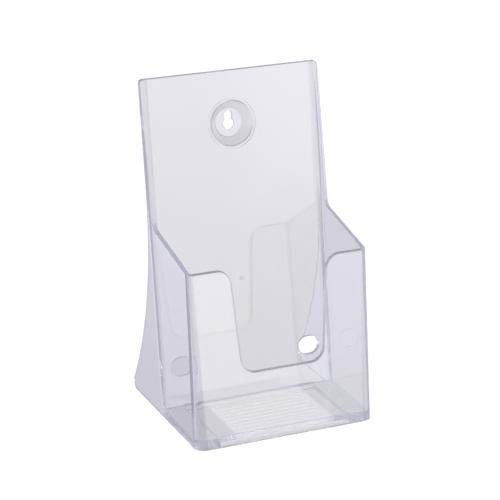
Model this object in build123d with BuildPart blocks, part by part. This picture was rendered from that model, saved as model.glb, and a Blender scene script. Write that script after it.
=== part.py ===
from build123d import *
from math import atan, cos, radians, sin, sqrt, tan
import os

os.makedirs("parts", exist_ok=True)

# A clear plastic brochure rack: a leaning back panel between two side walls that run out into
# rear legs, with a leaflet pocket in front. +Z is up, +X is to the right as seen from the front,
# and +Y runs from the pocket towards the back. The origin is the centre of the footprint, on the
# table. All sizes are in millimetres and degrees.

# ---- driving dimensions --------------------------------------------------------------------
WIDTH = 110.0
HEIGHT = 192.0
WALL = 2.4
FRONT_LEAN = 8.3
PANEL_LEAN = 10.1
PANEL_SETBACK = 50.0  # front of the rack to the front face of the panel, on the table
POCKET_HEIGHT = 99.4  # table to the front top corner of the pocket
KNEE_HEIGHT = 110.2  # where the pocket's rim turns up into the wing beside the panel
KNEE_SETBACK = 64.4
KNEE_RADIUS = 5.0
WING_PROUD_TOP = 1.0  # the wing stands this far in front of the panel at the very top
FLARE_HEIGHT = 129.0  # the rear leg starts to sweep back from the panel here
FLARE_RADIUS = 182.5
FOOT_RADIUS = 5.0
CORNER_RADIUS_FOOT = 6.5  # pocket's front corners, seen from above, tighten towards the rim
CORNER_RADIUS_RIM = 3.5
CORNER_RETURN = 10.0  # how far the front wall wraps round each corner
TOP_CORNER_RADIUS = 2.0
EDGE_RADIUS = 0.4
FRONT_WEB_RADIUS = 2.4  # moulded webs where the panel meets the side walls
REAR_WEB_RADIUS = 1.2
FLOOR_WEB_RADIUS = 0.8  # where the floor meets the panel and the front wall
CUTOUT_SILL = 39.7
CUTOUT_HALF_SILL = 24.9
CUTOUT_HALF_TOP = 29.6  # at the pocket's rim
CUTOUT_SILL_RADIUS = 8.5
CUTOUT_TOP_RADIUS = 8.5
FLOOR_UNDERSIDE = 2.7
FLOOR_THICKNESS = 2.4
RAIL_HALF_GAP = 40.5
RIB_COUNT = 10
RIB_PITCH = 4.3
RIB_LENGTH = 60.0
RIB_WIDTH = 3.8
RIB_RISE = 0.15
SLOT_CENTRE_X = 39.4
SLOT_CENTRE_Z = 27.4
SLOT_LENGTH = 13.0
SLOT_WIDTH = 10.6
SLOT_EDGE_RADIUS = 0.3
CUP_CENTRE_Z = 162.0
CUP_MOUTH_RADIUS = 12.8
CUP_FLOOR_RADIUS = 8.5
CUP_DEPTH = 5.6
CUP_WALL = 2.0
CUP_SEAT_RADIUS = 14.6
CUP_FLOOR_BLEND = 1.0
CUP_MOUTH_BLEND = 0.6
KEYHOLE_HEIGHT = 11.4
KEYHOLE_RADIUS = 3.5
KEYHOLE_SLOT_WIDTH = 5.0
KEYHOLE_RAISE = 1.4  # middle of the keyhole above the cup's centre
GATE_HEIGHT = 72.4
GATE_RADIUS = 1.2
GATE_RISE = 0.8

# ---- derived dimensions --------------------------------------------------------------------
HALF_WIDTH = WIDTH / 2
INNER_HALF = HALF_WIDTH - WALL
FRONT_SLOPE = tan(radians(FRONT_LEAN))
PANEL_SLOPE = tan(radians(PANEL_LEAN))
FRONT_WALL_RUN = WALL / cos(radians(FRONT_LEAN))  # wall thickness measured along Y
PANEL_RUN = WALL / cos(radians(PANEL_LEAN))

# The rear leg's sweep is an arc tangent to the panel's rear face, then rounded into the table.
# Setbacks are measured from the front of the rack.
FLARE_START = PANEL_SETBACK + PANEL_RUN + FLARE_HEIGHT * PANEL_SLOPE
FLARE_CENTRE_SETBACK = FLARE_START + FLARE_RADIUS * cos(radians(PANEL_LEAN))
FLARE_CENTRE_Z = FLARE_HEIGHT - FLARE_RADIUS * sin(radians(PANEL_LEAN))
FOOT_REACH = FLARE_RADIUS + FOOT_RADIUS
FOOT_SETBACK = FLARE_CENTRE_SETBACK - sqrt(FOOT_REACH**2 - (FLARE_CENTRE_Z - FOOT_RADIUS) ** 2)
DEPTH = FOOT_SETBACK + FOOT_RADIUS
FRONT_Y = -DEPTH / 2


def front_y(z):
    """Outer face of the front wall at height z."""
    return FRONT_Y + z * FRONT_SLOPE


def panel_y(z):
    """Front face of the back panel at height z."""
    return FRONT_Y + PANEL_SETBACK + z * PANEL_SLOPE


def side_outline():
    """The rack seen from its side: pocket rim, wing, rear leg and foot, in the YZ plane."""
    flare_start = (FRONT_Y + FLARE_START, FLARE_HEIGHT)
    flare_centre = (FRONT_Y + FLARE_CENTRE_SETBACK, FLARE_CENTRE_Z)
    foot_centre = (FRONT_Y + FOOT_SETBACK, FOOT_RADIUS)
    blend = FLARE_RADIUS / FOOT_REACH
    flare_end = tuple(c + (f - c) * blend for c, f in zip(flare_centre, foot_centre))
    with BuildSketch(Plane.YZ) as outline:
        with BuildLine():
            Polyline(
                (FRONT_Y + FOOT_SETBACK, 0),
                (FRONT_Y, 0),
                (front_y(POCKET_HEIGHT), POCKET_HEIGHT),
                (FRONT_Y + KNEE_SETBACK, KNEE_HEIGHT),
                (panel_y(HEIGHT) - WING_PROUD_TOP, HEIGHT),
                (panel_y(HEIGHT) + PANEL_RUN, HEIGHT),
                flare_start,
            )
            sweep_back = TangentArc(flare_start, flare_end, tangent=(-PANEL_SLOPE, -1))
            TangentArc(flare_end, (FRONT_Y + FOOT_SETBACK, 0), tangent=sweep_back % 1)
        make_face()
        knee = outline.vertices().sort_by_distance((FRONT_Y + KNEE_SETBACK, KNEE_HEIGHT, 0))[0]
        fillet(knee, KNEE_RADIUS)
    return outline.sketch_local


def corner_radius(z):
    """Outer radius of the pocket's front corners at height z."""
    return CORNER_RADIUS_FOOT + (CORNER_RADIUS_RIM - CORNER_RADIUS_FOOT) * z / POCKET_HEIGHT


def pocket_block(inset, back):
    """The leaning block within the pocket's front and side faces, moved in by the inset."""
    with BuildPart() as block:
        for z in (0, POCKET_HEIGHT + CORNER_RETURN):
            front = front_y(z) + inset / cos(radians(FRONT_LEAN))
            with BuildSketch(Plane.XY.offset(z)):
                with Locations((0, (front + back) / 2)):
                    plan = Rectangle(2 * (HALF_WIDTH - inset), back - front)
                fillet(plan.vertices().group_by(Axis.Y)[0], corner_radius(z) - inset)
        loft(ruled=True)
    return block.part


def web_plan(face_y, radius, outward):
    """Concave corner webs, seen from above, beside a face at face_y; outward is -1 for the front."""
    with BuildSketch(Plane.XY, mode=Mode.PRIVATE) as plan:
        with Locations((INNER_HALF - radius / 2, face_y + outward * radius / 2)):
            Rectangle(radius, radius)
        with Locations((INNER_HALF - radius, face_y + outward * radius)):
            Circle(radius, mode=Mode.SUBTRACT)
        mirror(about=Plane.YZ)
    return plan.sketch


def floor_web(wall_y, z, lean, floor_side, wall_side):
    """Concave web between the floor and a leaning wall. Each side is +1 or -1 from their corner."""
    along_wall = (wall_side * sin(radians(lean)), wall_side * cos(radians(lean)))
    half_corner = radians(90 - floor_side * wall_side * lean) / 2
    reach = FLOOR_WEB_RADIUS / tan(half_corner)
    on_floor = (wall_y + floor_side * reach, z)
    on_wall = (wall_y + along_wall[0] * reach, z + along_wall[1] * reach)
    with BuildSketch(mode=Mode.PRIVATE) as web:
        with BuildLine():
            Polyline(on_wall, (wall_y, z), on_floor)
            TangentArc(on_floor, on_wall, tangent=(-floor_side, 0))
        make_face()
    return web.sketch


def lean_direction(angle):
    """Unit direction that climbs while leaning back by the angle."""
    return (0, sin(radians(angle)), cos(radians(angle)))


OUTLINE = side_outline()
RIM_SLOPE = (KNEE_HEIGHT - POCKET_HEIGHT) / (FRONT_Y + KNEE_SETBACK - front_y(POCKET_HEIGHT))
RIM_PLANE = Plane(
    origin=(0, front_y(POCKET_HEIGHT), POCKET_HEIGHT),
    x_dir=(1, 0, 0),
    z_dir=(0, -RIM_SLOPE, 1),
)
CORNER_JOINT = Plane(
    origin=(0, FRONT_Y + CORNER_RETURN, 0),
    x_dir=(1, 0, 0),
    z_dir=(0, 1, -FRONT_SLOPE),
)
PANEL_FACE = Plane(
    origin=(0, panel_y(CUP_CENTRE_Z), CUP_CENTRE_Z),
    x_dir=(1, 0, 0),
    z_dir=(0, -1, PANEL_SLOPE),
)
POCKET_BACK = panel_y(HEIGHT)
POCKET_OUTSIDE = pocket_block(0, POCKET_BACK)
POCKET_INSIDE = pocket_block(WALL, POCKET_BACK)

# ---- front wall: wraps both front corners and has the cut-out for thumb and title -------------
with BuildPart() as front_wall:
    add(POCKET_OUTSIDE)
    add(POCKET_INSIDE, mode=Mode.SUBTRACT)
    split(bisect_by=CORNER_JOINT, keep=Keep.BOTTOM)
    rim_to_sill = (POCKET_HEIGHT - CUTOUT_SILL) * (1 - FRONT_SLOPE * RIM_SLOPE) * cos(atan(RIM_SLOPE))
    with BuildSketch(Plane(RIM_PLANE.origin, x_dir=(1, 0, 0), z_dir=-RIM_PLANE.y_dir)):
        with BuildLine():
            Polyline(
                (-CUTOUT_HALF_SILL, -rim_to_sill),
                (CUTOUT_HALF_SILL, -rim_to_sill),
                (CUTOUT_HALF_TOP, 0),
                (WIDTH, 0),
                (WIDTH, HEIGHT),
                (-WIDTH, HEIGHT),
                (-WIDTH, 0),
                (-CUTOUT_HALF_TOP, 0),
                close=True,
            )
        above_rim = make_face()
        sill_corners = above_rim.vertices().group_by(Axis.Z)[0]
        cheek_corners = above_rim.vertices().filter_by(lambda v: abs(abs(v.X) - CUTOUT_HALF_TOP) < 1)
        fillet(sill_corners, CUTOUT_SILL_RADIUS)
        fillet(cheek_corners, CUTOUT_TOP_RADIUS)
    extrude(amount=DEPTH, both=True, mode=Mode.SUBTRACT)
    rim_edges = front_wall.edges().filter_by(
        lambda e: e.center().Z > CUTOUT_SILL - 1
        and (e.center().Z > POCKET_HEIGHT - 1 or abs(e.center().X) < CUTOUT_HALF_TOP + CUTOUT_TOP_RADIUS)
        and (e.geom_type != GeomType.LINE or e.length > WALL + 0.5)
    )
    fillet(rim_edges, EDGE_RADIUS)

# ---- side walls: pocket side, wing and rear leg in one sheet ---------------------------------
with BuildPart() as right_side_wall:
    with BuildSketch(Plane.YZ.offset(INNER_HALF)):
        add(OUTLINE)
    extrude(amount=WALL)
    outer_edges = right_side_wall.faces().sort_by(Axis.X)[-1].edges()
    fillet(outer_edges.sort_by(Axis.Z)[-1], TOP_CORNER_RADIUS)
    split(bisect_by=CORNER_JOINT, keep=Keep.TOP)
    outer_edges = right_side_wall.faces().sort_by(Axis.X)[-1].edges()
    below_top = outer_edges.filter_by(lambda e: e.center().Z < HEIGHT - WALL)
    joint_edge = below_top.sort_by(Axis.Y)[0]
    fillet(below_top.filter_by(lambda e: e != joint_edge), EDGE_RADIUS)

with BuildPart() as left_side_wall:
    mirror(right_side_wall.part, about=Plane.YZ)

# ---- back panel: leaning sheet with moulded webs, cup seat, fixing slots and gate mark ---------
with BuildPart() as back_panel:
    with BuildSketch(Plane.YZ):
        with BuildLine():
            Polyline(
                (panel_y(0), 0),
                (panel_y(0) + PANEL_RUN, 0),
                (panel_y(HEIGHT) + PANEL_RUN, HEIGHT),
                (panel_y(HEIGHT), HEIGHT),
                close=True,
            )
        make_face()
    extrude(amount=INNER_HALF, both=True)
    fillet(back_panel.edges().filter_by(Axis.X).group_by(Axis.Z)[-1], EDGE_RADIUS)
    with BuildSketch(Plane.XY):
        add(web_plan(panel_y(0), FRONT_WEB_RADIUS, -1))
        add(web_plan(panel_y(0) + PANEL_RUN, REAR_WEB_RADIUS, 1))
    extrude(amount=2 * HEIGHT, dir=lean_direction(PANEL_LEAN))
    with BuildSketch(Plane.YZ):
        add(OUTLINE)
    extrude(amount=INNER_HALF, both=True, mode=Mode.INTERSECT)
    with BuildSketch(Plane.XZ.offset(-panel_y(HEIGHT))):
        with Locations((-SLOT_CENTRE_X, SLOT_CENTRE_Z), (SLOT_CENTRE_X, SLOT_CENTRE_Z)):
            SlotOverall(SLOT_LENGTH, SLOT_WIDTH)
    extrude(amount=DEPTH, both=True, mode=Mode.SUBTRACT)
    slot_edges = back_panel.edges().filter_by(
        lambda e: abs(e.center().Z - SLOT_CENTRE_Z) < SLOT_WIDTH
        and abs(abs(e.center().X) - SLOT_CENTRE_X) < SLOT_LENGTH / 2 + 0.1
    )
    fillet(slot_edges.filter_by(Axis.Y, reverse=True), SLOT_EDGE_RADIUS)
    with BuildSketch(PANEL_FACE):
        Circle(CUP_SEAT_RADIUS)
    extrude(amount=-2 * WALL, mode=Mode.SUBTRACT)
    with Locations(PANEL_FACE.offset(-WALL)):
        with Locations((0, (GATE_HEIGHT - CUP_CENTRE_Z) / cos(radians(PANEL_LEAN)))):
            Cylinder(GATE_RADIUS, GATE_RISE, align=(Align.CENTER, Align.CENTER, Align.MAX))

# ---- keyhole cup: dished boss that seats in the panel ------------------------------------------
with BuildPart() as keyhole_cup:
    cone_run = CUP_MOUTH_RADIUS - CUP_FLOOR_RADIUS
    cone_length = sqrt(cone_run**2 + CUP_DEPTH**2)
    radial_wall = CUP_WALL * cone_length / CUP_DEPTH
    underside = -CUP_DEPTH - CUP_WALL
    outer_at_panel_back = CUP_MOUTH_RADIUS + radial_wall - WALL * cone_run / CUP_DEPTH
    outer_at_underside = CUP_MOUTH_RADIUS + radial_wall + underside * cone_run / CUP_DEPTH
    axis_plane = Plane(PANEL_FACE.origin, x_dir=(1, 0, 0), z_dir=PANEL_FACE.y_dir)
    with BuildSketch(axis_plane):
        with BuildLine():
            Polyline(
                (0, CUP_DEPTH),
                (CUP_FLOOR_RADIUS, CUP_DEPTH),
                (CUP_MOUTH_RADIUS, 0),
                (CUP_SEAT_RADIUS, 0),
                (CUP_SEAT_RADIUS, WALL),
                (outer_at_panel_back, WALL),
                (outer_at_underside, -underside),
                (0, -underside),
                close=True,
            )
        profile = make_face()
        floor_corner = profile.vertices().sort_by_distance((CUP_FLOOR_RADIUS, CUP_DEPTH, 0))[0]
        fillet(floor_corner, CUP_FLOOR_BLEND)
        mouth_corner = vertices().sort_by_distance((CUP_MOUTH_RADIUS, 0, 0))[0]
        fillet(mouth_corner, CUP_MOUTH_BLEND)
    revolve(axis=Axis(PANEL_FACE.origin, PANEL_FACE.z_dir))
    with BuildSketch(PANEL_FACE.offset(-CUP_DEPTH)):
        with Locations((0, KEYHOLE_RAISE + KEYHOLE_RADIUS - KEYHOLE_HEIGHT / 2)):
            Circle(KEYHOLE_RADIUS)
        slot_centre_to_centre = KEYHOLE_HEIGHT - KEYHOLE_RADIUS - KEYHOLE_SLOT_WIDTH / 2
        with Locations((0, KEYHOLE_RAISE + (KEYHOLE_RADIUS - KEYHOLE_SLOT_WIDTH / 2) / 2)):
            SlotCenterToCenter(slot_centre_to_centre, KEYHOLE_SLOT_WIDTH, rotation=90)
    extrude(amount=CUP_WALL * 2, both=True, mode=Mode.SUBTRACT)

# ---- pocket floor: ribbed plate the leaflets stand on ---------------------------------------
with BuildPart() as pocket_floor:
    with BuildSketch(Plane.XY.offset(FLOOR_UNDERSIDE)):
        Rectangle(WIDTH, DEPTH)
    extrude(amount=FLOOR_THICKNESS)
    add(POCKET_INSIDE, mode=Mode.INTERSECT)
    split(bisect_by=PANEL_FACE, keep=Keep.TOP)
    add(back_panel.part, mode=Mode.SUBTRACT)
    floor_top = FLOOR_UNDERSIDE + FLOOR_THICKNESS
    with BuildSketch(Plane.YZ):
        for z, wall_side in ((floor_top, 1), (FLOOR_UNDERSIDE, -1)):
            add(floor_web(panel_y(z), z, PANEL_LEAN, -1, wall_side))
            add(floor_web(front_y(z) + FRONT_WALL_RUN, z, FRONT_LEAN, 1, wall_side))
    extrude(amount=RAIL_HALF_GAP, both=True)
    ribs_centre = (front_y(floor_top) + FRONT_WALL_RUN + panel_y(floor_top)) / 2
    with BuildSketch(Plane.YZ.offset(-RIB_LENGTH / 2)):
        with Locations((ribs_centre, floor_top)):
            with GridLocations(RIB_PITCH, 0, RIB_COUNT, 1):
                with BuildLine(mode=Mode.PRIVATE) as ridge:
                    crest = ThreePointArc((-RIB_WIDTH / 2, 0), (0, RIB_RISE), (RIB_WIDTH / 2, 0))
                    Line(crest @ 1, crest @ 0)
                add(make_face(ridge.line, mode=Mode.PRIVATE))
    extrude(amount=RIB_LENGTH)

# ---- foot rails: solid strips under the floor's sides that the rack stands on ---------------
with BuildPart() as right_foot_rail:
    with BuildSketch(Plane.XY):
        Rectangle(HALF_WIDTH, DEPTH, align=(Align.MIN, Align.CENTER))
    extrude(amount=FLOOR_UNDERSIDE)
    add(POCKET_INSIDE, mode=Mode.INTERSECT)
    split(bisect_by=Plane.YZ.offset(RAIL_HALF_GAP), keep=Keep.TOP)
    split(bisect_by=PANEL_FACE, keep=Keep.TOP)
    add(back_panel.part, mode=Mode.SUBTRACT)

with BuildPart() as left_foot_rail:
    mirror(right_foot_rail.part, about=Plane.YZ)

# ---- labels and files -----------------------------------------------------------------------
front_wall.part.label = "front_wall"
left_side_wall.part.label = "left_side_wall"
right_side_wall.part.label = "right_side_wall"
back_panel.part.label = "back_panel"
keyhole_cup.part.label = "keyhole_cup"
pocket_floor.part.label = "pocket_floor"
left_foot_rail.part.label = "left_foot_rail"
right_foot_rail.part.label = "right_foot_rail"

export_step(front_wall.part, "parts/front_wall.step")
export_step(left_side_wall.part, "parts/left_side_wall.step")
export_step(right_side_wall.part, "parts/right_side_wall.step")
export_step(back_panel.part, "parts/back_panel.step")
export_step(keyhole_cup.part, "parts/keyhole_cup.step")
export_step(pocket_floor.part, "parts/pocket_floor.step")
export_step(left_foot_rail.part, "parts/left_foot_rail.step")
export_step(right_foot_rail.part, "parts/right_foot_rail.step")
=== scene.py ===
import bpy
import math
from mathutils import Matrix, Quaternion, Vector


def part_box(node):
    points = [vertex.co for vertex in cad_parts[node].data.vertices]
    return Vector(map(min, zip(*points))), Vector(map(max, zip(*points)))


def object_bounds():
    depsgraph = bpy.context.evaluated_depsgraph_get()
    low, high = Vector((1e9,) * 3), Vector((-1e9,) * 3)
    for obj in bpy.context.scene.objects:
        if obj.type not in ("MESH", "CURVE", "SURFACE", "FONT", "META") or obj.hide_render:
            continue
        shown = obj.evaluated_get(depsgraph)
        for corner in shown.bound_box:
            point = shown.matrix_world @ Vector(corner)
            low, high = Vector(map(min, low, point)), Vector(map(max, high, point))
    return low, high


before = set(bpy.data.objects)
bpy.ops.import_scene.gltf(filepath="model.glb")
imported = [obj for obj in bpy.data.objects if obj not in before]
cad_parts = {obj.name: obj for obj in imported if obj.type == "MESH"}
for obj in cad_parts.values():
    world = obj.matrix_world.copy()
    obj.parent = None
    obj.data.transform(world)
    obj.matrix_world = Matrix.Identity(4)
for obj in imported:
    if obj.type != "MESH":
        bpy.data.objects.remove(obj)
cad_low, cad_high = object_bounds()

MM = 0.001
TOUCH = 0.01 * MM  # faces closer than this are the same face

# The planes along which the walls are joined, in the frame's own metres.
WALL = 2.4 * MM
FRONT_LEAN = math.radians(8.3)
FRONT_SLOPE = math.tan(FRONT_LEAN)
FRONT_RUN = WALL / math.cos(FRONT_LEAN)
PANEL_LEAN = math.radians(10.1)
PANEL_SLOPE = math.tan(PANEL_LEAN)
PANEL_RUN = WALL / math.cos(PANEL_LEAN)
PANEL_FOOT_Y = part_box("right_foot_rail")[1].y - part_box("right_foot_rail")[1].z * PANEL_SLOPE
FRONT_WEB = 2.4 * MM
REAR_WEB = 1.2 * MM
CORNER_RADIUS_FOOT = 6.5 * MM
CORNER_TIGHTENING = 3.0 / 99.4  # how much the corner radius shrinks for each unit of height
SEAT_RADIUS = (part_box("keyhole_cup")[1].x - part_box("keyhole_cup")[0].x) / 2
INNER_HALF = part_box("back_panel")[1].x
RAIL_HALF_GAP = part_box("right_foot_rail")[0].x
FLOOR_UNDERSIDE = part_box("right_foot_rail")[1].z
FLOOR_TOP = FLOOR_UNDERSIDE + WALL
FLOOR_WEB = 0.8 * MM
FRONT_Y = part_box("front_wall")[0].y
CORNER_JOINT_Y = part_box("right_side_wall")[0].y
CUP_AXIS_Z = 162.0 * MM
GATE_Z = 72.4 * MM
SLOT_CENTRE_X = 39.4 * MM
SLOT_CENTRE_Z = 27.4 * MM
SLOT_HALF_LENGTH = 7.0 * MM  # with the rounding of the slot's edges
SLOT_HALF_WIDTH = 5.8 * MM


# ---- shader arithmetic -----------------------------------------------------------------------
class Number:
    """A number inside a material. Ordinary arithmetic on it adds the matching maths nodes."""

    def __init__(self, tree, socket):
        self.tree = tree
        self.socket = socket

    def _math(self, operation, other=0.0):
        node = self.tree.nodes.new("ShaderNodeMath")
        node.operation = operation
        for slot, value in zip(node.inputs, (self, other)):
            if isinstance(value, Number):
                self.tree.links.new(value.socket, slot)
            else:
                slot.default_value = value
        return Number(self.tree, node.outputs[0])

    def __add__(self, other):
        return self._math("ADD", other)

    def __sub__(self, other):
        return self._math("SUBTRACT", other)

    def __rsub__(self, other):
        return self * -1.0 + other

    def __mul__(self, other):
        return self._math("MULTIPLY", other)

    def __truediv__(self, other):
        return self._math("DIVIDE", other)

    def __lt__(self, other):
        return self._math("LESS_THAN", other)

    def __gt__(self, other):
        return self._math("GREATER_THAN", other)

    def __abs__(self):
        return self._math("ABSOLUTE")

    def __neg__(self):
        return self * -1.0

    def __or__(self, other):
        return self._math("MAXIMUM", other)

    def __and__(self, other):
        return self._math("MINIMUM", other)

    def squared(self):
        return self * self

    def root(self):
        return self._math("SQRT")

    def exponential(self):
        return self._math("EXPONENT")

    def sine(self):
        return self._math("SINE")

    def near(self, value):
        return abs(self - value) < TOUCH

    def between(self, low, high):
        """Climbs smoothly from 0 at low to 1 at high."""
        ramp = self.tree.nodes.new("ShaderNodeMapRange")
        ramp.interpolation_type = "SMOOTHSTEP"
        ramp.inputs["From Min"].default_value = low
        ramp.inputs["From Max"].default_value = high
        self.tree.links.new(self.socket, ramp.inputs["Value"])
        return Number(self.tree, ramp.outputs["Result"])


class Point:
    """The shaded point and its surface direction, in the frame's own metres."""

    def __init__(self, tree):
        place = tree.nodes.new("ShaderNodeTexCoord")
        self.place = place.outputs["Object"]
        split = tree.nodes.new("ShaderNodeSeparateXYZ")
        tree.links.new(self.place, split.inputs[0])
        self.x, self.y, self.z = (Number(tree, s) for s in split.outputs)
        turn = tree.nodes.new("ShaderNodeSeparateXYZ")
        tree.links.new(place.outputs["Normal"], turn.inputs[0])
        self.facing_z = Number(tree, turn.outputs[2])
        surface = tree.nodes.new("ShaderNodeNewGeometry")
        self.inside = Number(tree, surface.outputs["Backfacing"])
        sight = tree.nodes.new("ShaderNodeSeparateXYZ")
        tree.links.new(surface.outputs["Incoming"], sight.inputs[0])
        self.viewer_x, self.viewer_y, self.viewer_z = (Number(tree, s) for s in sight.outputs)
        ray = tree.nodes.new("ShaderNodeLightPath")
        self.seen_directly = Number(tree, ray.outputs["Is Camera Ray"])
        self.aside = abs(self.x)
        self.behind_panel = self.y - self.z * PANEL_SLOPE - PANEL_FOOT_Y
        self.behind_front = self.y - self.z * FRONT_SLOPE - FRONT_Y
        self.from_gate = (self.x.squared() + (self.z - GATE_Z).squared()).root()


# ---- where each piece is joined to its neighbours -----------------------------------------------
# The real rack is moulded in one, so light crosses from wall to wall with nothing to stop it.
def corner_joint(p):
    return (p.behind_front - (CORNER_JOINT_Y - FRONT_Y)).near(0.0)


def web_height(lean):
    """How far a floor web climbs a wall that leans away from it by the angle."""
    return FLOOR_WEB / math.tan((math.pi / 2 + lean) / 2) * math.cos(lean)


def floor_contact(p, lean):
    """Where the floor, its webs and the rails touch a wall that leans back from them."""
    over_rail = p.aside > RAIL_HALF_GAP
    webs = (p.z < FLOOR_TOP + web_height(lean)) & (p.z > FLOOR_UNDERSIDE - web_height(-lean))
    return ((p.z < FLOOR_TOP) & over_rail) | (webs & (p.aside < RAIL_HALF_GAP))


def side_wall_joints(p):
    inner_face = abs(p.aside - INNER_HALF) < TOUCH
    panel_end = (p.behind_panel > -FRONT_WEB) & (p.behind_panel < PANEL_RUN + REAR_WEB)
    floor_end = (p.z < FLOOR_TOP) & (p.behind_panel < 0.0)
    return corner_joint(p) | (inner_face & (panel_end | floor_end)) | beyond_hole(p)


def front_wall_joints(p):
    radius = p.z * -CORNER_TIGHTENING + CORNER_RADIUS_FOOT
    past_x = (p.aside + radius - (INNER_HALF + WALL)) | 0.0
    past_y = (radius - p.behind_front) | 0.0
    from_corner_axis = (past_x.squared() + past_y.squared()).root()
    inside = from_corner_axis - radius < -WALL + 2 * TOUCH
    return corner_joint(p) | (inside & floor_contact(p, -FRONT_LEAN))


def back_panel_joints(p):
    ends = abs(p.aside - INNER_HALF) < TOUCH
    pocket_side = (p.behind_panel < TOUCH) & floor_contact(p, PANEL_LEAN)
    return ends | pocket_side | cup_seat(p)


def cup_seat(p):
    axis_y = PANEL_FOOT_Y + CUP_AXIS_Z * PANEL_SLOPE
    cosine = math.cos(PANEL_LEAN)
    up = (p.z - CUP_AXIS_Z) * cosine + (p.y - axis_y) * (PANEL_SLOPE * cosine)
    return (p.x.squared() + up.squared()).root().near(SEAT_RADIUS)


def floor_joints(p):
    on_wall = p.behind_panel.near(0.0) | p.behind_front.near(FRONT_RUN) | p.aside.near(INNER_HALF)
    beyond_webs = p.aside > RAIL_HALF_GAP
    rim = (abs(p.facing_z) < 0.5) & (p.z < FLOOR_TOP + TOUCH)
    return on_wall | (beyond_webs & (rim | p.z.near(FLOOR_UNDERSIDE)))


def beyond_hole(p):
    """The rear legs as seen straight through a slot in the panel. The slots show the backdrop."""
    to_panel = (p.behind_panel - PANEL_RUN / 2) / (p.viewer_z * PANEL_SLOPE - p.viewer_y)
    slot_x = abs(p.x + p.viewer_x * to_panel)
    slot_z = p.z + p.viewer_z * to_panel
    across = abs(slot_x - SLOT_CENTRE_X) < SLOT_HALF_LENGTH
    height = abs(slot_z - SLOT_CENTRE_Z) < SLOT_HALF_WIDTH
    from_front = (p.behind_panel > PANEL_RUN + REAR_WEB) & (to_panel > 0.0)
    return p.seen_directly & from_front & across & height


def rail_joints(p):
    return (p.z > TOUCH) & (p.aside > RAIL_HALF_GAP + TOUCH)


JOINTS = {
    "front_wall": front_wall_joints,
    "left_side_wall": side_wall_joints,
    "right_side_wall": side_wall_joints,
    "back_panel": back_panel_joints,
    "keyhole_cup": cup_seat,
    "pocket_floor": floor_joints,
    "left_foot_rail": rail_joints,
    "right_foot_rail": rail_joints,
}

# ---- clear polystyrene ------------------------------------------------------------------------
REFRACTIVE_INDEX = 1.59
ABSORPTION = (22.0, 23.0, 17.0)  # per metre of plastic, for red, green and blue
PAINTED_HAZE_GLOW = (0.46, 0.47, 0.60)  # painted glow: emission that stands in for the light the faint haze in the plastic scatters towards the eye
SHADOW_TINT = (0.985, 0.985, 0.99)
CLEAR = (1.0, 1.0, 1.0)
TINT_STREAKS = (0.75, 0.5)  # least share of the tint, and how much more the streaks add
STREAKS_PER_METRE = 14.0
SMUDGES_PER_METRE = 26.0
SMUDGE_BAND = (0.56, 0.72)  # only the strongest noise is a smudge
SMUDGE_ROUGHNESS = 0.035
SCRATCHES_PER_METRE = 420.0
SCRATCH_STRETCH = (0.6, 0.6, 14.0)  # fine hairlines that run level
SCRATCH_BAND = (0.69, 0.74)
SCRATCH_ROUGHNESS = 0.02
WEAR_FROM = 0.2 * MM
WEAR_TO = 2.0 * MM  # the foot is rubbed dull up to this height
WEAR_SPOTS_PER_METRE = 900.0
WEAR_ROUGHNESS = 0.45
GATE_MARK = 1.4 * MM  # the sprue was broken off here and left the plastic dull
GATE_ROUGHNESS = 0.5
RIB_HALF_LENGTH = 30.0 * MM
RIB_ROUGHNESS = 0.12
RIB_FROST = 0.12  # share of the light that the moulded texture scatters evenly
FROST_BACK = (0.8, 0.8, 0.8)  # how much of that share goes back, and how much goes on
FROST_ON = (0.25, 0.25, 0.25)
RAIL_SIDE_ROUGHNESS = 0.5
PAINTED_CREASE_SHADE = (0.3, 0.32, 0.18)  # share of light taken away as painted shade along the web at the rear of the pocket floor, for red, green and blue
CREASE_WIDTH = 1.2 * MM
SINK_WAVES_PER_METRE = 22.0
SINK_DEPTH = 0.05 * MM
RING_WAVE = 620.0  # radians for each metre away from the gate
RING_WANDER = 9.0  # radians by which noise bends the rings
RING_NOISE_PER_METRE = 18.0
RING_HEIGHT = 0.0006 * MM


def new_material(name):
    material = bpy.data.materials.new(name)
    material.use_nodes = True
    material.node_tree.nodes.clear()
    return material, material.node_tree


def noise(tree, vector, scale, detail=2.0):
    texture = tree.nodes.new("ShaderNodeTexNoise")
    tree.links.new(vector, texture.inputs["Vector"])
    texture.inputs["Scale"].default_value = scale
    texture.inputs["Detail"].default_value = detail
    return Number(tree, texture.outputs["Fac"])


def stretched(tree, vector, scale):
    mapping = tree.nodes.new("ShaderNodeMapping")
    mapping.inputs["Scale"].default_value = scale
    tree.links.new(vector, mapping.inputs["Vector"])
    return mapping.outputs[0]


def in_ribs(point):
    """The ribbed middle of the floor, and the walls level with it. Their texture scatters light."""
    height = (point.z < FLOOR_TOP + FLOOR_WEB) & (point.z > FLOOR_UNDERSIDE - TOUCH)
    return (point.aside < RIB_HALF_LENGTH) & height


def in_crease(point):
    """The web along the rear of the pocket floor, which is darkened with painted shade."""
    across = (point.behind_panel > -CREASE_WIDTH) & (point.behind_panel < TOUCH)
    height = (point.z > FLOOR_TOP - TOUCH) & (point.z < FLOOR_TOP + FLOOR_WEB)
    return across & height & (point.aside < RAIL_HALF_GAP)


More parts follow.
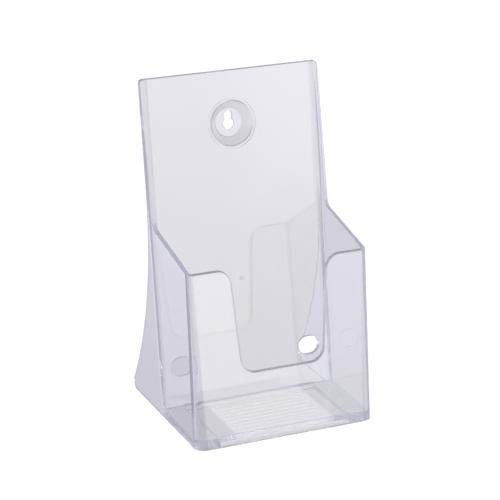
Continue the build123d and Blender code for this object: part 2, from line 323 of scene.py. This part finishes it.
def handling_marks(tree, point):
    """Roughness: almost none on fresh plastic, a little in smudges, most where the foot rubs."""
    smudge = noise(tree, point.place, SMUDGES_PER_METRE, 4.0).between(*SMUDGE_BAND)
    hairlines = stretched(tree, point.place, SCRATCH_STRETCH)
    scratch = noise(tree, hairlines, SCRATCHES_PER_METRE).between(*SCRATCH_BAND)
    spots = noise(tree, point.place, WEAR_SPOTS_PER_METRE)
    rubbed = (1.0 - point.z.between(WEAR_FROM, WEAR_TO)) * spots
    texture = in_ribs(point) & (point.facing_z > 0.5)
    rail_side = point.aside.near(RAIL_HALF_GAP) & (point.z < FLOOR_UNDERSIDE)
    gate = (point.from_gate < GATE_MARK) & (point.behind_panel > PANEL_RUN - TOUCH)
    moulded = texture * RIB_ROUGHNESS + rail_side * RAIL_SIDE_ROUGHNESS + gate * GATE_ROUGHNESS
    used = smudge * SMUDGE_ROUGHNESS + scratch * SCRATCH_ROUGHNESS + rubbed * WEAR_ROUGHNESS
    return used + moulded


def moulded_waviness(tree, point):
    """Height of the skin: slow sink waves and the faint rings that spread from the gate."""
    slow = noise(tree, point.place, SINK_WAVES_PER_METRE, 1.0) * SINK_DEPTH
    wander = noise(tree, point.place, RING_NOISE_PER_METRE) * RING_WANDER
    rings = (point.from_gate * RING_WAVE + wander).sine() * RING_HEIGHT
    bump = tree.nodes.new("ShaderNodeBump")
    bump.inputs["Distance"].default_value = 1.0
    bump.inputs["Strength"].default_value = 1.0
    tree.links.new((slow + rings).socket, bump.inputs["Height"])
    return bump.outputs[0]


def mixed(tree, share, first, second):
    """The first shader, with the given share of the second one in its place."""
    mix = tree.nodes.new("ShaderNodeMixShader")
    for socket, slot in zip((share.socket, first, second), mix.inputs):
        tree.links.new(socket, slot)
    return mix.outputs[0]


def summed(tree, first, second):
    total = tree.nodes.new("ShaderNodeAddShader")
    tree.links.new(first, total.inputs[0])
    tree.links.new(second, total.inputs[1])
    return total.outputs[0]


def plain(tree, kind, colour):
    shader = tree.nodes.new(kind)
    shader.inputs["Color"].default_value = (*colour, 1.0)
    return shader.outputs[0]


def glass_with_painted_glow(tree, point, travelled):
    """Glass that loses light along its way through the plastic, with a painted glow: an emission that
    stands in for the light its faint haze scatters.
    """
    link = tree.links.new
    least, more = TINT_STREAKS
    streaks = noise(tree, point.place, STREAKS_PER_METRE) * more + least
    kept = tree.nodes.new("ShaderNodeCombineColor")
    painted_glow_colour = tree.nodes.new("ShaderNodeCombineColor")
    # Each channel takes its share of the painted glow, and of the painted shade that darkens the glass
    # along the rear crease of the floor
    for index, (loss, glow, crease_shade) in enumerate(zip(ABSORPTION, PAINTED_HAZE_GLOW, PAINTED_CREASE_SHADE)):
        clear = (travelled * streaks * -loss).exponential()
        link((clear * (1.0 - in_crease(point) * crease_shade)).socket, kept.inputs[index])
        link(((1.0 - clear) * glow).socket, painted_glow_colour.inputs[index])
    glass = tree.nodes.new("ShaderNodeBsdfGlass")
    glass.inputs["IOR"].default_value = REFRACTIVE_INDEX
    link(handling_marks(tree, point).socket, glass.inputs["Roughness"])
    link(moulded_waviness(tree, point), glass.inputs["Normal"])
    link(kept.outputs[0], glass.inputs["Color"])
    # Emission: a painted glow that grows with the path through the plastic, standing in for the light the
    # haze scatters
    painted_glow = tree.nodes.new("ShaderNodeEmission")
    link(painted_glow_colour.outputs[0], painted_glow.inputs["Color"])
    return summed(tree, glass.outputs[0], painted_glow.outputs[0])


def clear_plastic(name, joints):
    """Glass with a painted glow, clear to shadows, frosted at the ribs, darkened with painted shade along
    the rear crease of the floor, and absent where pieces join.
    """
    material, tree = new_material(name)
    point = Point(tree)
    path = tree.nodes.new("ShaderNodeLightPath")
    travelled = Number(tree, path.outputs["Ray Length"]) * point.inside
    soft_light = Number(tree, path.outputs["Is Shadow Ray"]) | Number(tree, path.outputs["Is Diffuse Ray"])
    see_through = plain(tree, "ShaderNodeBsdfTransparent", SHADOW_TINT)
    body = mixed(tree, soft_light, glass_with_painted_glow(tree, point, travelled), see_through)
    sent_back = plain(tree, "ShaderNodeBsdfDiffuse", FROST_BACK)
    sent_on = plain(tree, "ShaderNodeBsdfTranslucent", FROST_ON)
    frosted = mixed(tree, in_ribs(point) * RIB_FROST, body, summed(tree, sent_back, sent_on))
    joined = plain(tree, "ShaderNodeBsdfTransparent", CLEAR)
    output = tree.nodes.new("ShaderNodeOutputMaterial")
    tree.links.new(mixed(tree, joints(point), frosted, joined), output.inputs[0])
    return material


for node_name, joints in JOINTS.items():
    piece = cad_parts[node_name]
    piece.data.materials.clear()
    piece.data.materials.append(clear_plastic(node_name + "_plastic", joints))

# ---- studio ------------------------------------------------------------------------------------
FLOOR_HALF = 6.0
FLOOR_DROP = 0.05 * MM  # the sheet lies just clear of the feet
PAPER = (0.95, 0.95, 0.95, 1.0)
PAPER_ROUGHNESS = 0.9
FRONT_WINDOW = 1.8  # brightness of the soft light in front of the rack
FRONT_DIM = 0.5  # and of the rest of the room on that side
WINDOW_X = 0.4  # where the light is, as a direction: towards +X, and just below level
WINDOW_Z = -0.03
WINDOW_NARROWING = 2.2  # it is taller than wide
WINDOW_EDGE = (0.16, 0.27)
CEILING_DARKENING = 0.6
CEILING_FROM = (0.08, 0.4)
HORIZON_LEVEL = 0.97  # the backdrop fades downwards, between its highest and lowest level
HORIZON_FADE = 0.92
BACKDROP_LEVELS = (0.5, 0.72)
GLOW = 0.07  # the upper right of the backdrop is a little lighter
GLOW_X = (0.375, 0.42)
GLOW_Z = (-0.345, -0.3)
FRONT_SIDE = (0.1, 0.6)
LEFT_SIDE = (-0.1, 0.35)
BACKDROP_TINT = (1.0, 0.985, 1.05)
LEFT_TINT = (1.08, 1.05, 1.27)  # the left of the studio is cooler
KEY_STRENGTH = 2.5
KEY_SOFTNESS = math.radians(60)
KEY_TILT = (math.radians(18), math.radians(-14), 0.0)


def studio_floor():
    """A pale sheet under the rack. Through the plastic one sees the studio in its place."""
    mesh = bpy.data.meshes.new("studio_floor")
    reach = (-FLOOR_HALF, FLOOR_HALF)
    level = cad_low.z - FLOOR_DROP
    mesh.from_pydata([(x, y, level) for x in reach for y in reach], [], [(0, 2, 3, 1)])
    floor = bpy.data.objects.new("studio_floor", mesh)
    bpy.context.scene.collection.objects.link(floor)
    floor.visible_glossy = False
    floor.visible_transmission = False
    material = bpy.data.materials.new("studio_floor_paper")
    material.use_nodes = True
    shader = material.node_tree.nodes["Principled BSDF"]
    shader.inputs["Base Color"].default_value = PAPER
    shader.inputs["Roughness"].default_value = PAPER_ROUGHNESS
    shader.inputs["Specular IOR Level"].default_value = 0.0
    mesh.materials.append(material)


def studio_light():
    world = bpy.data.worlds.new("studio")
    bpy.context.scene.world = world
    world.use_nodes = True
    tree = world.node_tree
    add = tree.nodes.new
    link = tree.links.new
    place = add("ShaderNodeTexCoord")
    split = add("ShaderNodeSeparateXYZ")
    link(place.outputs["Generated"], split.inputs[0])
    towards_x, towards_y, towards_z = (Number(tree, s) for s in split.outputs)
    in_front = (-towards_y).between(*FRONT_SIDE)
    at_left = (-towards_x).between(*LEFT_SIDE)
    ceiling = towards_z.between(*CEILING_FROM) * CEILING_DARKENING
    glow = (towards_x.between(*GLOW_X) & towards_z.between(*GLOW_Z)) * GLOW
    lowest, highest = BACKDROP_LEVELS
    fading = (towards_z * HORIZON_FADE + HORIZON_LEVEL) & highest | lowest
    backdrop = fading * (1.0 - ceiling) * (glow + 1.0)
    sideways = (towards_x - WINDOW_X).squared() * WINDOW_NARROWING
    off_axis = (sideways + (towards_z - WINDOW_Z).squared()).root()
    window = (1.0 - off_axis.between(*WINDOW_EDGE)) * (FRONT_WINDOW - FRONT_DIM) + FRONT_DIM
    colour = add("ShaderNodeCombineColor")
    for slot, usual, cool in zip(colour.inputs, BACKDROP_TINT, LEFT_TINT):
        behind = backdrop * (at_left * (cool - usual) + usual)
        link((behind + (window - behind) * in_front).socket, slot)
    seen = add("ShaderNodeLightPath")
    studio = tree.nodes["Background"]
    link(colour.outputs[0], studio.inputs["Color"])
    white = plain(tree, "ShaderNodeBackground", CLEAR)
    seen_directly = Number(tree, seen.outputs["Is Camera Ray"])
    light = mixed(tree, seen_directly, studio.outputs[0], white)
    link(light, tree.nodes["World Output"].inputs["Surface"])
    sun = bpy.data.lights.new("soft_key", "SUN")
    sun.energy = KEY_STRENGTH
    sun.angle = KEY_SOFTNESS
    key = bpy.data.objects.new("soft_key", sun)
    key.rotation_euler = KEY_TILT
    key.visible_glossy = False
    key.visible_transmission = False
    bpy.context.scene.collection.objects.link(key)


def photo_camera():
    """The camera stands front left and above the rack."""
    azimuth = math.radians(-24.54)
    elevation = math.radians(20.56)
    roll = math.radians(0.55)
    distance = 1.1856
    target = Vector((-6.09 * MM, FRONT_Y + 40.0 * MM, 99.17 * MM))
    level = math.cos(elevation)
    back = Vector((math.sin(azimuth) * level, -math.cos(azimuth) * level, math.sin(elevation)))
    lens = bpy.data.cameras.new("photo_camera")
    lens.sensor_width = 36.0
    lens.lens = 151.46
    camera = bpy.data.objects.new("photo_camera", lens)
    camera.location = target + back * distance
    aim = (-back).to_track_quat("-Z", "Y") @ Quaternion((0.0, 0.0, 1.0), roll)
    camera.rotation_euler = aim.to_euler()
    bpy.context.scene.collection.objects.link(camera)
    bpy.context.scene.camera = camera


def light_paths():
    cycles = bpy.context.scene.cycles
    cycles.max_bounces = 32
    cycles.transmission_bounces = 32
    cycles.glossy_bounces = 16
    cycles.transparent_max_bounces = 64
    cycles.caustics_reflective = False
    cycles.caustics_refractive = False
    bpy.context.scene.view_settings.view_transform = "Standard"


studio_floor()
studio_light()
photo_camera()
light_paths()
